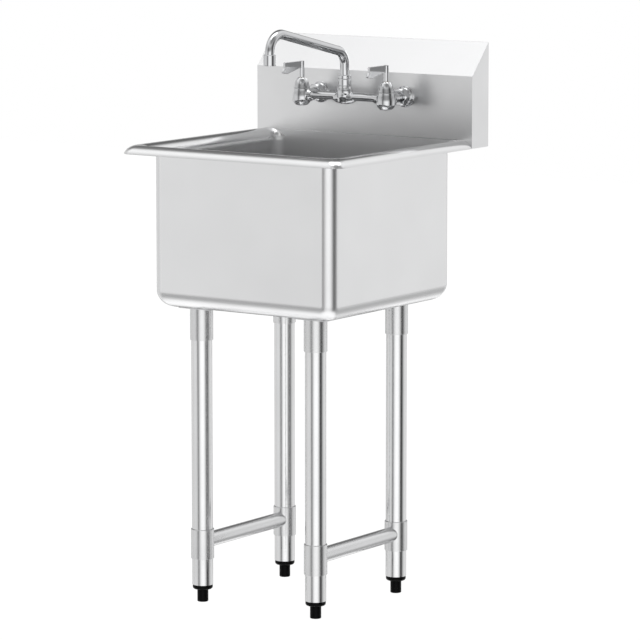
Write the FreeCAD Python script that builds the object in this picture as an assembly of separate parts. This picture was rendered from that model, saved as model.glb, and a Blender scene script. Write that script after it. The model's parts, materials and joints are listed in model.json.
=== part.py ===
# Free-standing utility laundry sink: one deep bowl on four tube legs, with a backsplash
# and a wall faucet on 8 inch centres. Millimetres. +Z is up, the front faces -Y, and the
# origin is on the floor, in the middle of the overall width and depth.
import FreeCAD, Part
import math
import os

V = FreeCAD.Vector
UP = V(0, 0, 1)
BACK = V(0, 1, 0)

# ---- overall ----
overall_width = 520.0
overall_depth = 530.0
rim_edge_height = 896.5          # lower edge of the rolled rim
sheet = 1.2                      # bowl and backsplash sheet
fit_gap = 0.15                   # radial gap of a tube in a sleeve, or a nut on its thread
touch_gap = 0.3                  # gap between a moving piece and its seat
run_gap = 0.08                   # radial gap of a turning or sliding fit
edge_break = 0.4                 # small rounding on machined edges

# ---- bowl and rolled rim ----
bowl_width = 425.0               # inside, left to right
bowl_length = 425.0              # inside, front to back
bowl_depth = 319.2               # from the rim's crest to the floor's top face
wall_corner_radius = 23.9        # inside vertical corners
floor_edge_radius = 32.7         # inside, between wall and floor
floor_corner_radius = 7.0        # inside, where that rounding meets the flat floor
crest_inset = 21.8               # crest of the roll, from the outer edge
crest_rise = 16.3                # crest above the outer edge
crest_flat = 1.0                 # width of the flat along the crest
inner_roll_height = 24.0         # roll's inner side, from the crest down to the wall
rim_corner_radius = 24.0         # outer edge, in plan
crest_corner_radius = 20.0
crest_rear_radius = 5.0          # where the crest meets the backsplash
arc_steps = 10                   # flat strips around each rolled arc

# ---- backsplash ----
backsplash_depth = 61.0
backsplash_face_height = 143.3   # from the rim's edge to the bend
backsplash_slant_rise = 65.7
backsplash_lip = 20.0            # rear lip, downwards from the top
backsplash_return = 15.0         # lower return, backwards from the face
bend_radius = 2.0                # outside
top_bend_radius = 0.8            # outside, along the rear top edge

# ---- drain ----
drain_hole_radius = 44.45        # 3 1/2 in opening
drain_flange_radius = 56.0
drain_flange = 1.6
drain_flange_round = 1.0
drain_mouth_round = 1.5
drain_cup_radius = 43.6
drain_cup_wall = 2.0
drain_cup_depth = 19.6           # inside, below the bowl floor's top face
drain_cup_floor = 1.5
drain_cup_round = 3.0
outlet_radius = 22.0
outlet_wall = 3.0
outlet_length = 9.0
outlet_cross_width = 2.4
outlet_cross_height = 3.0
outlet_hub_radius = 5.0
gasket = 2.0
friction_ring = 1.0
gasket_radius = 55.0
locknut_radius = 52.0
locknut_height = 9.0
locknut_lugs = 6
lug_reach = 4.0
lug_width = 9.0

# ---- lift-out basket ----
basket_radius = 38.5
basket_sheet = 0.8
basket_rim_radius = 40.6
basket_height = 14.4
basket_floor_round = 3.0
basket_stopper_radius = 25.0
basket_stopper = 3.0
basket_hole_radius = 2.2
basket_hole_rings = ((12.0, 8), (21.0, 14), (30.0, 20))   # radius, number of holes
basket_slots = 18
basket_slot_width = 3.0
basket_slot_height = 7.0
post_radius = 2.0
post_above_basket = 9.0
post_below_stopper = 2.5
knob_radius = 7.0
knob_height = 6.0
knob_round = 2.5

# ---- legs ----
leg_spacing_x = 272.6
leg_spacing_y = 285.1
leg_front_setback = 102.7        # front leg axis, behind the rim's front edge
leg_radius = 20.65               # 1 5/8 in tube
leg_wall = 1.2
leg_bottom_height = 34.8
sleeve_wall = 2.05
socket_length = 63.0             # below its plate
socket_plate = 2.5
socket_plate_width = 76.0
socket_plate_front = 25.0
socket_plate_back = 45.0
sleeve_length = 59.5
sleeve_bottom_height = 87.6
crossbar_radius = 15.0
crossbar_wall = 1.2
crossbar_height = 121.4
set_screw_radius = 3.0
set_screw_proud = 1.0
set_screw_hex = 3.0
set_screw_drop = 7.0             # below the sleeve's top end
socket_screw_rise = 12.0         # above the socket's lower end

# ---- feet ----
shoulder_radius = 20.0
shoulder_height = 9.3
shoulder_round = 6.5
insert_plug_height = 30.0
insert_plug_round = 1.5
foot_radius = 11.0
foot_round = 1.6
stud_radius = 5.0
stud_length = 33.0

# ---- faucet ----
inlet_spacing = 203.2            # 8 in
inlet_drop = 46.8                # axis of the inlets and the bar, below the backsplash's bend
valve_reach = 69.0               # valve axes, in front of the backsplash
hub_reach = 65.0                 # spout axis, in front of the backsplash
bar_radius = 8.0
bar_flare_radius = 12.5
bar_flare_length = 17.0
bar_flare_round = 14.0
bar_end = 8.0                    # bar's end, short of the valve's axis
bar_bore_radius = 4.0
valve_radius = 18.5
valve_base = 22.3                # rounded bottom, below the inlet axis
valve_base_flat = 0.5            # left of the radius under the rounding
valve_widest = 2.0               # top of the widest band, above the inlet axis
valve_shoulder_round = 12.0
valve_seat = 13.0                # joint of bonnet and casting, above the inlet axis
valve_seat_radius = 17.2
bonnet_height = 20.5
bonnet_top_radius = 8.2
bonnet_top_round = 3.0
bonnet_shoulder_radius = 13.8
bonnet_shoulder = 13.0
bonnet_wall = 4.0                # at its top
arm_radius = 10.0
arm_flare = 8.0
water_radius = 7.5
hub_base = 14.0                  # below the inlet axis
hub_base_radius = 12.5
hub_base_round = 5.0
hub_radius = 15.5
hub_waist_round = 10.0
hub_top = 22.0                   # above the inlet axis
hub_neck_radius = 13.3
hub_neck_height = 8.0
hub_nipple_radius = 11.3
hub_nipple_height = 12.0
hub_bore_radius = 9.9
hub_bore_floor = 5.0             # above the inlet axis
chamber_radius = 10.0
chamber_floor = 13.0             # below the inlet axis

# ---- inlets through the backsplash ----
shank_radius = 10.65             # 1/2 in taper thread, through the backsplash
shank_behind = 38.0
shank_front = 16.0
hose_thread_radius = 10.45       # 1/2 in parallel thread at the shank's free end
hose_thread_length = 24.0
thread_relief = 2.0              # groove between the two threads
thread_relief_depth = 0.8
flange_radius = 21.7
flange_height = 7.0
flange_edge = 2.2
flange_edge_round = 1.2
flange_rim_width = 4.5
flange_rim_rise = 1.6
flange_dish_round = 2.5
nut_flats = 32.0
nut_bevel = 1.2                  # bevel on the corners, as a share of their reach past the flats
nut_length = 16.0
nut_start = 8.0                  # in front of the backsplash
nut_lip = 4.0
tail_radius = 12.5
tail_length = 2.0
washer_thickness = 2.0
back_washer_radius = 17.0
back_washer = 1.5
back_nut = 6.0

# ---- valves and handles ----
cartridge_barrel_radius = 9.7
cartridge_flange_radius = 13.0
cartridge_flange = 4.0
cartridge_neck_radius = 6.0
cartridge_bottom_gap = 2.0       # above the chamber's floor
stem_radius = 3.0
stem_in_handle = 13.0
stem_fit = 0.05                  # radial gap of stem and screw in the handle
handle_radius = 5.6
handle_height = 33.0
blade_length = 62.0
blade_thickness = 5.0
blade_root_height = 13.5
blade_root_round = 12.0
blade_root_reach = 8.4
blade_tip_height = 23.0
blade_toe = 5.0
blade_toe_height = 12.0
blade_toe_lift = 2.0
blade_round = 3.0
handle_screw_radius = 2.0
handle_screw_head_radius = 3.6
handle_screw_head = 2.4
handle_screw_slot = 0.9

# ---- spout ----
spout_radius = 9.525
spout_bore_radius = 7.0
spout_reach = 260.0              # from the hub axis to the outlet axis
spout_corner_height = 87.5       # where riser and run would meet, above the inlet axis
spout_rise_angle = 12.5          # degrees above level
riser_bend_radius = 30.0
outlet_bend_radius = 36.0
spout_end_height = 85.0          # above the inlet axis
o_ring_radius = 0.8
o_ring_heights = (9.0, 14.0)     # above the inlet axis
o_ring_groove = 1.76
spout_nut_height = 21.0
spout_nut_lip = 7.0
spout_nut_round = 1.2
spout_nut_groove = 0.5           # depth of the line turned around it
spout_nut_groove_half = 1.0
aerator_radius = 12.3
aerator_round = 1.2
aerator_above_end = 14.0
aerator_below_end = 7.5
aerator_lip = 1.5
aerator_lip_radius = 8.6
aerator_hole_radius = 0.9
aerator_hole_rings = ((3.2, 6), (6.2, 12))   # radius, number of holes

# ---- places worked out from the sizes above ----
front_edge_y = -overall_depth / 2
face_y = overall_depth / 2 - backsplash_depth       # backsplash front and bowl's rear wall
crest_height = rim_edge_height + crest_rise
floor_height = crest_height - bowl_depth
underside_height = floor_height - sheet
bowl_front_y = face_y - bowl_length
bowl_centre = (0.0, face_y - bowl_length / 2)
side_roll = overall_width / 2 - crest_inset - bowl_width / 2
front_roll = bowl_front_y - (front_edge_y + crest_inset)
roll_radius = (crest_inset ** 2 + crest_rise ** 2) / (2 * crest_rise)
bend_height = rim_edge_height + backsplash_face_height
backsplash_top = bend_height + backsplash_slant_rise
faucet_height = bend_height - inlet_drop
plate_underside = underside_height - socket_plate
socket_bottom = plate_underside - socket_length
sleeve_top = sleeve_bottom_height + sleeve_length
sleeve_bore = leg_radius + fit_gap
sleeve_radius = sleeve_bore + sleeve_wall
leg_front_y = front_edge_y + leg_front_setback
leg_places = {
    "front_left": (-leg_spacing_x / 2, leg_front_y),
    "front_right": (leg_spacing_x / 2, leg_front_y),
    "rear_left": (-leg_spacing_x / 2, leg_front_y + leg_spacing_y),
    "rear_right": (leg_spacing_x / 2, leg_front_y + leg_spacing_y),
}
foot_top = leg_bottom_height - shoulder_height - touch_gap
valve_y = face_y - valve_reach
hub_y = face_y - hub_reach
valve_sides = {"left": -1, "right": 1}
bonnet_top = faucet_height + valve_seat + bonnet_height
handle_bottom = bonnet_top + touch_gap
handle_top = handle_bottom + handle_height
spout_end = faucet_height + spout_end_height
hub_seat = faucet_height + hub_top
cup_floor_height = floor_height - drain_cup_depth
outlet_top = cup_floor_height - drain_cup_floor
stopper_bottom = cup_floor_height + touch_gap
basket_bottom = stopper_bottom + basket_stopper


def cylinder(radius, length, at, axis=UP):
    return Part.makeCylinder(radius, length, V(*at), axis)


def tube(outer, inner, length, at, axis=UP):
    return cylinder(outer, length, at, axis).cut(cylinder(inner, length, at, axis))


def box(low, high):
    size = [b - a for a, b in zip(low, high)]
    return Part.makeBox(size[0], size[1], size[2], V(*low))


def outline(corners, place):
    """Closed wire through (u, v, rounding radius) corners; place turns (u, v) into a point."""
    count = len(corners)
    rounds = []
    for i, (u, v, radius) in enumerate(corners):
        here = V(u, v, 0)
        back = V(corners[i - 1][0], corners[i - 1][1], 0) - here
        ahead = V(corners[(i + 1) % count][0], corners[(i + 1) % count][1], 0) - here
        half = back.getAngle(ahead) / 2
        room = 0.49 * min(back.Length, ahead.Length)
        radius = min(radius, room * math.tan(half))
        if radius <= 0:
            rounds.append((here, None, here))
            continue
        reach = radius / math.tan(half)
        back.normalize()
        ahead.normalize()
        middle = back + ahead
        middle.normalize()
        top = here + middle * (radius / math.sin(half) - radius)
        rounds.append((here + back * reach, top, here + ahead * reach))
    edges = []
    for i, (start, top, end) in enumerate(rounds):
        if top is not None:
            points = [place(p.x, p.y) for p in (start, top, end)]
            edges.append(Part.Arc(*points).toShape())
        following = rounds[(i + 1) % count][0]
        edges.append(Part.makeLine(place(end.x, end.y), place(following.x, following.y)))
    return Part.Wire(edges)


def turned(corners, at, axis=UP):
    """Solid of revolution: corners are (radius, height, rounding) along the axis."""
    face = Part.Face(outline(corners, lambda u, v: V(u, 0, v)))
    solid = face.revolve(V(0, 0, 0), UP, 360)
    solid.Placement = FreeCAD.Placement(V(*at), FreeCAD.Rotation(UP, axis))
    return solid


def hexagon(flats, length, at, axis=UP):
    corner = flats / math.sqrt(3)
    points = [(corner * math.cos(math.radians(60 * k)), corner * math.sin(math.radians(60 * k)), 0)
              for k in range(6)]
    prism = Part.Face(outline(points, lambda u, v: V(u, v, 0))).extrude(UP * length)
    prism.Placement = FreeCAD.Placement(V(*at), FreeCAD.Rotation(UP, axis))
    return prism


def bevelled_nut(flats, length, bore, at, axis=UP):
    corner = flats / math.sqrt(3)
    bevel = (corner - flats / 2) * nut_bevel
    barrel = turned([(0, 0, 0), (corner - bevel, 0, 0), (corner, bevel, 0), (corner, length - bevel, 0),
                     (corner - bevel, length, 0), (0, length, 0)], at, axis)
    return hexagon(flats, length, at, axis).common(barrel).cut(cylinder(bore, length, at, axis))


def joined(solids):
    whole = solids[0].multiFuse(solids[1:]) if len(solids) > 1 else solids[0]
    return whole.removeSplitter()


def save(name, shape):
    shape.exportStep("parts/%s.step" % name)


# ---- bowl ----

def bowl_ring(side_inset, front_inset, rear_y, front_radius, rear_radius, z):
    half = overall_width / 2 - side_inset
    front = front_edge_y + front_inset
    corners = [(-half, front, front_radius), (half, front, front_radius),
               (half, rear_y, rear_radius), (-half, rear_y, rear_radius)]
    return outline(corners, lambda u, v: V(u, v, z))


def inner_roll_loft(skin):
    """Space inside the rim's inner arc; skin 0 is the water side, sheet is the under side."""
    rings = []
    for i in range(arc_steps + 1):
        turn = math.radians(90.0 * i / arc_steps)
        reach = math.cos(turn)
        rise = (inner_roll_height - skin) * math.sin(turn)
        inset = crest_inset + crest_flat / 2 * math.sin(turn)
        rings.append(bowl_ring(
            inset + (side_roll - skin) * reach, inset + (front_roll - skin) * reach, face_y + skin,
            crest_corner_radius + (wall_corner_radius + skin - crest_corner_radius) * reach,
            crest_rear_radius + (wall_corner_radius + skin - crest_rear_radius) * reach,
            crest_height - inner_roll_height + rise))
    return Part.makeLoft(rings, True, True)


def wall_block(skin):
    """Upright part of the bowl, between the floor's rounding and the rim's arc."""
    low = floor_height + floor_edge_radius
    ring = bowl_ring(crest_inset + side_roll - skin, crest_inset + front_roll - skin, face_y + skin,
                     wall_corner_radius + skin, wall_corner_radius + skin, low)
    return Part.Face(ring).extrude(UP * (crest_height - inner_roll_height - low))


def floor_loft(skin):
    """Rounded lower part of the bowl."""
    radius = floor_edge_radius + skin
    rings = []
    for i in range(arc_steps + 1):
        turn = math.radians(90.0 * i / arc_steps)
        inset = radius * (1 - math.cos(turn)) - skin
        corner = floor_corner_radius + (wall_corner_radius - floor_corner_radius) * math.cos(turn)
        rings.append(bowl_ring(crest_inset + side_roll + inset, crest_inset + front_roll + inset,
                               face_y - inset, corner + skin, corner + skin,
                               floor_height + floor_edge_radius - radius * math.sin(turn)))
    return Part.makeLoft(rings, True, True)


def outer_roll_loft(skin):
    """Space under the rim's outer arc; skin 0 is the outside, sheet is the under side."""
    radius = roll_radius - skin
    centre_rise = crest_rise - roll_radius
    widest = math.acos(-centre_rise / radius)
    rings = []
    for i in range(arc_steps + 1):
        turn = widest * (1 - i / arc_steps)
        inset = crest_inset - radius * math.sin(turn) - crest_flat / 2 * (1 - math.sin(turn))
        corner = (crest_corner_radius
                  + (rim_corner_radius - skin - crest_corner_radius) * math.sin(turn) / math.sin(widest))
        rings.append(bowl_ring(inset, inset, face_y + 2 * rim_corner_radius, corner, corner,
                               rim_edge_height + centre_rise + radius * math.cos(turn)))
    return Part.makeLoft(rings, True, True)


def make_bowl():
    water = joined([floor_loft(0), wall_block(0), inner_roll_loft(0)])
    metal = joined([floor_loft(sheet), wall_block(sheet), inner_roll_loft(sheet)])
    roll = outer_roll_loft(0).cut(outer_roll_loft(sheet))
    behind = box((-overall_width, face_y, rim_edge_height),
                 (overall_width, face_y + overall_depth, crest_height + 1))
    bowl = roll.cut(behind).cut(water).fuse(metal.cut(behind).cut(water))
    bowl = bowl.cut(cylinder(drain_hole_radius, 3 * sheet, (*bowl_centre, underside_height - sheet)))
    save("bowl", bowl.removeSplitter())


# ---- backsplash ----

def side_profile():
    """Backsplash outline as (y, z, rounding) corners; its lower edge is welded flush to the bowl."""
    back_y = overall_depth / 2
    return [(face_y, rim_edge_height, 0), (face_y, bend_height, bend_radius),
            (back_y, backsplash_top, top_bend_radius), (back_y, rim_edge_height, bend_radius)]


def inset_profile(points, distance):
    """The same outline with each side moved inwards."""
    lines = []
    for i, (y, z, radius) in enumerate(points):
        next_y, next_z = points[(i + 1) % len(points)][:2]
        length = math.hypot(next_y - y, next_z - z)
        lines.append(((next_z - z) / length, -(next_y - y) / length, y, z))
    moved = []
    for i in range(len(points)):
        a1, b1, y1, z1 = lines[i - 1]
        a2, b2, y2, z2 = lines[i]
        c1 = a1 * y1 + b1 * z1 + distance
        c2 = a2 * y2 + b2 * z2 + distance
        determinant = a1 * b2 - a2 * b1
        moved.append(((c1 * b2 - c2 * b1) / determinant, (a1 * c2 - a2 * c1) / determinant,
                      max(points[i][2] - distance, 0)))
    return moved


def profile_prism(corners, left, right):
    return Part.Face(outline(corners, lambda u, v: V(left, u, v))).extrude(V(right - left, 0, 0))


def make_backsplash():
    half = overall_width / 2
    back_y = overall_depth / 2
    outer = side_profile()
    panel = profile_prism(outer, sheet - half, half - sheet)
    panel = panel.cut(profile_prism(inset_profile(outer, sheet), -half, half))
    open_back = box((-half, back_y - 2 * sheet, rim_edge_height - 1),
                    (half, back_y + 1, backsplash_top - backsplash_lip))
    open_floor = box((-half, face_y + backsplash_return, rim_edge_height - 1),
                     (half, back_y + 1, rim_edge_height + 2 * sheet))
    panel = panel.cut(open_back).cut(open_floor)
    for side in valve_sides.values():
        hole = (side * inlet_spacing / 2, face_y - sheet, faucet_height)
        panel = panel.cut(cylinder(shank_radius + 2 * fit_gap, 3 * sheet, hole, BACK))
    save("backsplash_panel", panel)
    save("backsplash_end_left", profile_prism(outer, -half, sheet - half))
    save("backsplash_end_right", profile_prism(outer, half - sheet, half))


# ---- drain and basket ----

def make_drain():
    x, y = bowl_centre
    bore = drain_cup_radius - drain_cup_wall
    cup_top = floor_height + drain_flange - cup_floor_height
    body = turned([(outlet_radius - outlet_wall, -outlet_length, 0),
                   (outlet_radius, -outlet_length, edge_break),
                   (outlet_radius, 0, 0), (drain_cup_radius, 0, drain_cup_round),
                   (drain_cup_radius, drain_cup_floor + drain_cup_depth, 0),
                   (drain_flange_radius, drain_cup_floor + drain_cup_depth, 0),
                   (drain_flange_radius, drain_cup_floor + cup_top, drain_flange_round),
                   (bore, drain_cup_floor + cup_top, drain_mouth_round),
                   (bore, drain_cup_floor, drain_cup_round),
                   (outlet_radius - outlet_wall, drain_cup_floor, edge_break)], (x, y, outlet_top))
    cross_low = outlet_top - outlet_cross_height
    reach = outlet_radius - outlet_wall / 2
    half = outlet_cross_width / 2
    cross = joined([cylinder(outlet_hub_radius, outlet_cross_height + drain_cup_floor, (x, y, cross_low)),
                    box((x - reach, y - half, cross_low), (x + reach, y + half, outlet_top)),
                    box((x - half, y - reach, cross_low), (x + half, y + reach, outlet_top))])
    body = joined([body, cross])
    body = body.cut(cylinder(post_radius + run_gap, drain_cup_depth, (x, y, cross_low)))
    save("strainer_body", body)

    ring_bore = drain_cup_radius + 2 * fit_gap
    gasket_bottom = underside_height - gasket
    save("drain_gasket", tube(gasket_radius, ring_bore, gasket, (x, y, gasket_bottom)))
    ring_bottom = gasket_bottom - friction_ring
    save("drain_friction_ring", tube(gasket_radius, ring_bore, friction_ring, (x, y, ring_bottom)))
    nut_bottom = ring_bottom - locknut_height
    nut = cylinder(locknut_radius, locknut_height, (x, y, nut_bottom))
    for k in range(locknut_lugs):
        lug = box((x, y - lug_width / 2, nut_bottom),
                  (x + locknut_radius + lug_reach, y + lug_width / 2, ring_bottom))
        lug.rotate(V(x, y, 0), UP, 360.0 * k / locknut_lugs)
        nut = nut.fuse(lug)
    nut = nut.removeSplitter().cut(cylinder(ring_bore, locknut_height, (x, y, nut_bottom)))
    save("drain_locknut", nut)


def make_basket():
    x, y = bowl_centre
    bore = basket_radius - basket_sheet
    cup = turned([(0, 0, 0), (basket_radius, 0, basket_floor_round),
                  (basket_radius, basket_height - basket_sheet, 0),
                  (basket_rim_radius, basket_height - basket_sheet, 0),
                  (basket_rim_radius, basket_height, 0), (bore, basket_height, 0),
                  (bore, basket_sheet, basket_floor_round - basket_sheet),
                  (0, basket_sheet, 0)], (x, y, basket_bottom))
    cup = cup.cut(cylinder(post_radius + fit_gap, 3 * basket_sheet, (x, y, basket_bottom - basket_sheet)))
    cutters = []
    for ring_radius, holes in basket_hole_rings:
        for k in range(holes):
            turn = 2 * math.pi * k / holes
            at = (x + ring_radius * math.cos(turn), y + ring_radius * math.sin(turn),
                  basket_bottom - basket_sheet)
            cutters.append(cylinder(basket_hole_radius, 3 * basket_sheet, at))
    slot_low = basket_bottom + (basket_height - basket_slot_height) / 2
    for k in range(basket_slots):
        slot = box((x + bore - basket_sheet, y - basket_slot_width / 2, slot_low),
                   (x + basket_rim_radius, y + basket_slot_width / 2, slot_low + basket_slot_height))
        slot.rotate(V(x, y, 0), UP, 360.0 * k / basket_slots)
        cutters.append(slot)
    save("strainer_basket", cup.cut(Part.makeCompound(cutters)))
    save("basket_stopper", tube(basket_stopper_radius, post_radius + fit_gap, basket_stopper,
                                (x, y, stopper_bottom)))
    length = post_below_stopper + basket_stopper + basket_height + post_above_basket
    post = turned([(0, 0, 0), (post_radius, 0, edge_break), (post_radius, length, 0),
                   (knob_radius, length, edge_break), (knob_radius, length + knob_height, knob_round),
                   (0, length + knob_height, 0)], (x, y, stopper_bottom - post_below_stopper))
    save("basket_post", post)


# ---- legs ----

def set_screw(x, y, z):
    """Grub screw on the rear side of a sleeve, its flat point against the leg tube."""
    length = sleeve_radius - leg_radius + set_screw_proud
    screw = cylinder(set_screw_radius, length, (x, y + leg_radius, z), BACK)
    socket = hexagon(set_screw_hex, length / 2, (x, y + leg_radius + length / 2, z), BACK)
    return screw.cut(socket)


def sleeve(x, y, low, length, screw_height):
    ring = tube(sleeve_radius, sleeve_bore, length, (x, y, low))
    return ring.cut(cylinder(set_screw_radius + fit_gap, 2 * sleeve_radius, (x, y, screw_height), BACK))


def make_foot(name, x, y):
    plug = leg_radius - leg_wall - fit_gap
    insert_top = shoulder_height + insert_plug_height
    insert = turned([(0, 0, 0), (shoulder_radius, 0, shoulder_round),
                     (shoulder_radius, shoulder_height, edge_break), (plug, shoulder_height, 0),
                     (plug, insert_top, insert_plug_round), (0, insert_top, 0)],
                    (x, y, leg_bottom_height - shoulder_height))
    bore_depth = stud_length + touch_gap
    insert = insert.cut(cylinder(stud_radius + run_gap, bore_depth,
                                 (x, y, leg_bottom_height - shoulder_height)))
    save("foot_insert_" + name, insert)
    foot = turned([(0, 0, 0), (foot_radius, 0, foot_round), (foot_radius, foot_top, foot_round / 2),
                   (stud_radius, foot_top, 0), (stud_radius, foot_top + stud_length, edge_break),
                   (0, foot_top + stud_length, 0)], (x, y, 0))
    save("foot_" + name, foot)


def make_legs():
    plates = []
    screws = []
    socket_screw = socket_bottom + socket_screw_rise
    sleeve_screw = sleeve_top - set_screw_drop
    for name, (x, y) in leg_places.items():
        plates.append(box((x - socket_plate_width / 2, y - socket_plate_front, plate_underside),
                          (x + socket_plate_width / 2, y + socket_plate_back, underside_height)))
        save("leg_socket_" + name, sleeve(x, y, socket_bottom, socket_length, socket_screw))
        save("leg_tube_" + name, tube(leg_radius, leg_radius - leg_wall,
                                      plate_underside - leg_bottom_height, (x, y, leg_bottom_height)))
        save("crossbar_sleeve_" + name,
             sleeve(x, y, sleeve_bottom_height, sleeve_length, sleeve_screw))
        screws.append(set_screw(x, y, socket_screw))
        screws.append(set_screw(x, y, sleeve_screw))
        make_foot(name, x, y)
    save("socket_plates", Part.makeCompound(plates))
    save("set_screws", Part.makeCompound(screws))
    for side in ("left", "right"):
        x, front = leg_places["front_" + side]
        rear = leg_places["rear_" + side][1]
        bar = tube(crossbar_radius, crossbar_radius - crossbar_wall, rear - front,
                   (x, front, crossbar_height), BACK)
        for y in (front, rear):
            bar = bar.cut(cylinder(sleeve_radius, 4 * crossbar_radius,
                                   (x, y, crossbar_height - 2 * crossbar_radius)))
        save("crossbar_" + side, bar)


# ---- faucet casting and inlets ----

def make_faucet_body():
    hub = turned([(0, -hub_base, 0), (hub_base_radius, -hub_base, hub_base_round),
                  (hub_radius, 0, hub_waist_round),
                  (hub_neck_radius, hub_top - hub_neck_height, hub_waist_round),
                  (hub_neck_radius, hub_top, edge_break), (hub_nipple_radius, hub_top, 0),
                  (hub_nipple_radius, hub_top + hub_nipple_height, edge_break),
                  (0, hub_top + hub_nipple_height, 0)], (0, hub_y, faucet_height))
    solids = [hub]
    bores = [cylinder(hub_bore_radius, hub_top + hub_nipple_height,
                      (0, hub_y, faucet_height + hub_bore_floor))]
    hub_centre = V(0, hub_y, faucet_height)
    tail_front = face_y - shank_front - washer_thickness - tail_length
    arm_end = tail_front + tail_length
    for side in valve_sides.values():
        x = side * inlet_spacing / 2
        valve_centre = V(x, valve_y, faucet_height)
        along = valve_centre - hub_centre
        length = along.Length - bar_end
        solids.append(turned([(0, 0, 0), (bar_flare_radius, 0, 0),
                              (bar_radius, bar_flare_length, bar_flare_round),
                              (bar_radius, length - bar_flare_length, bar_flare_round),
                              (bar_flare_radius, length, 0), (0, length, 0)], hub_centre, along))
        solids.append(turned([(0, -valve_base, 0),
                              (valve_radius, -valve_base, valve_radius - valve_base_flat),
                              (valve_radius, valve_widest, valve_shoulder_round),
                              (valve_seat_radius, valve_seat, edge_break), (0, valve_seat, 0)], valve_centre))
        arm = arm_end - valve_y
        solids.append(turned([(0, 0, 0), (bar_flare_radius, 0, 0), (bar_flare_radius, arm_flare, arm_flare),
                              (arm_radius, valve_radius + arm_flare, arm_flare),
                              (arm_radius, arm - tail_length, 0), (tail_radius, arm - tail_length, 0),
                              (tail_radius, arm, edge_break), (0, arm, 0)], valve_centre, BACK))
        bores.append(cylinder(water_radius, arm, valve_centre, BACK))
        bores.append(cylinder(chamber_radius, chamber_floor + valve_seat,
                              (x, valve_y, faucet_height - chamber_floor)))
        bores.append(cylinder(bar_bore_radius, length, hub_centre, along))
    casting = joined(solids)
    for bore in bores:
        casting = casting.cut(bore)
    save("faucet_body", casting)


def make_inlets():
    washers = []
    back_washers = []
    back_nuts = []
    for name, side in valve_sides.items():
        x = side * inlet_spacing / 2
        forward = V(0, -1, 0)
        wall_point = (x, face_y, faucet_height)
        bore = shank_radius + fit_gap
        flange = turned([(bore, 0, 0), (flange_radius, 0, 0),
                         (flange_radius, flange_edge, flange_edge_round),
                         (flange_radius - flange_rim_width, flange_edge + flange_rim_rise, flange_dish_round),
                         (tail_radius + flange_edge, flange_height, edge_break),
                         (bore, flange_height, 0)], wall_point, forward)
        save("wall_flange_" + name, flange)
        shank_end = shank_front + shank_behind
        relief_start = shank_end - hose_thread_length - thread_relief
        relief_radius = hose_thread_radius - thread_relief_depth
        shank = turned([(water_radius, 0, 0), (shank_radius, 0, edge_break),
                        (shank_radius, relief_start, 0), (relief_radius, relief_start, 0),
                        (relief_radius, relief_start + thread_relief, 0),
                        (hose_thread_radius, relief_start + thread_relief, 0),
                        (hose_thread_radius, shank_end, 0), (water_radius, shank_end, 0)],
                       (x, face_y - shank_front, faucet_height), BACK)
        save("inlet_shank_" + name, shank)
        nut_y = face_y - nut_start
        nut = bevelled_nut(nut_flats, nut_length, arm_radius + 2 * fit_gap,
                           (x, nut_y, faucet_height), forward)
        nut = nut.cut(cylinder(bore, shank_front - nut_start, (x, nut_y, faucet_height), forward))
        nut = nut.cut(cylinder(tail_radius + fit_gap, nut_start + nut_length - nut_lip - shank_front,
                               (x, face_y - shank_front, faucet_height), forward))
        save("coupling_nut_" + name, nut)
        washers.append(tube(tail_radius - fit_gap, water_radius, washer_thickness,
                            (x, face_y - shank_front - washer_thickness, faucet_height), BACK))
        back_y = face_y + sheet
        back_washers.append(tube(back_washer_radius, bore, back_washer, (x, back_y, faucet_height), BACK))
        back_nuts.append(bevelled_nut(nut_flats, back_nut, bore,
                                      (x, back_y + back_washer, faucet_height), BACK))
    save("coupling_washers", Part.makeCompound(washers))
    save("shank_washers", Part.makeCompound(back_washers))
    save("shank_locknuts", Part.makeCompound(back_nuts))


# ---- valves and handles ----

def make_valve(name, x):
    seat = (x, valve_y, faucet_height + valve_seat)
    inner = cartridge_flange_radius + touch_gap
    throat = cartridge_neck_radius + touch_gap
    bonnet = turned([(inner, 0, 0), (valve_seat_radius, 0, edge_break),
                     (bonnet_shoulder_radius, bonnet_shoulder, valve_shoulder_round),
                     (bonnet_top_radius, bonnet_height, bonnet_top_round), (throat, bonnet_height, 0),
                     (throat, bonnet_height - bonnet_wall, 0),
                     (inner, cartridge_flange + touch_gap, 0)], seat)
    save("bonnet_" + name, bonnet)
    bore = stem_radius + run_gap
    depth = chamber_floor + valve_seat - cartridge_bottom_gap
    cartridge = turned([(0, -depth, 0), (cartridge_barrel_radius, -depth, edge_break),
                        (cartridge_barrel_radius, 0, 0), (cartridge_flange_radius, 0, 0),
                        (cartridge_flange_radius, cartridge_flange, edge_break),
                        (cartridge_neck_radius, cartridge_flange, 0),
                        (cartridge_neck_radius, bonnet_height, edge_break), (0, bonnet_height, 0)], seat)
    stem_depth = depth / 2
    cartridge = cartridge.cut(cylinder(bore, bonnet_height + stem_depth,
                                       (x, valve_y, faucet_height + valve_seat - stem_depth)))
    save("valve_cartridge_" + name, cartridge)
    stem_bottom = faucet_height + valve_seat - stem_depth + touch_gap
    save("valve_stem_" + name, cylinder(stem_radius, handle_bottom + stem_in_handle - stem_bottom,
                                        (x, valve_y, stem_bottom)))
    make_handle(name, x)


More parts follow.
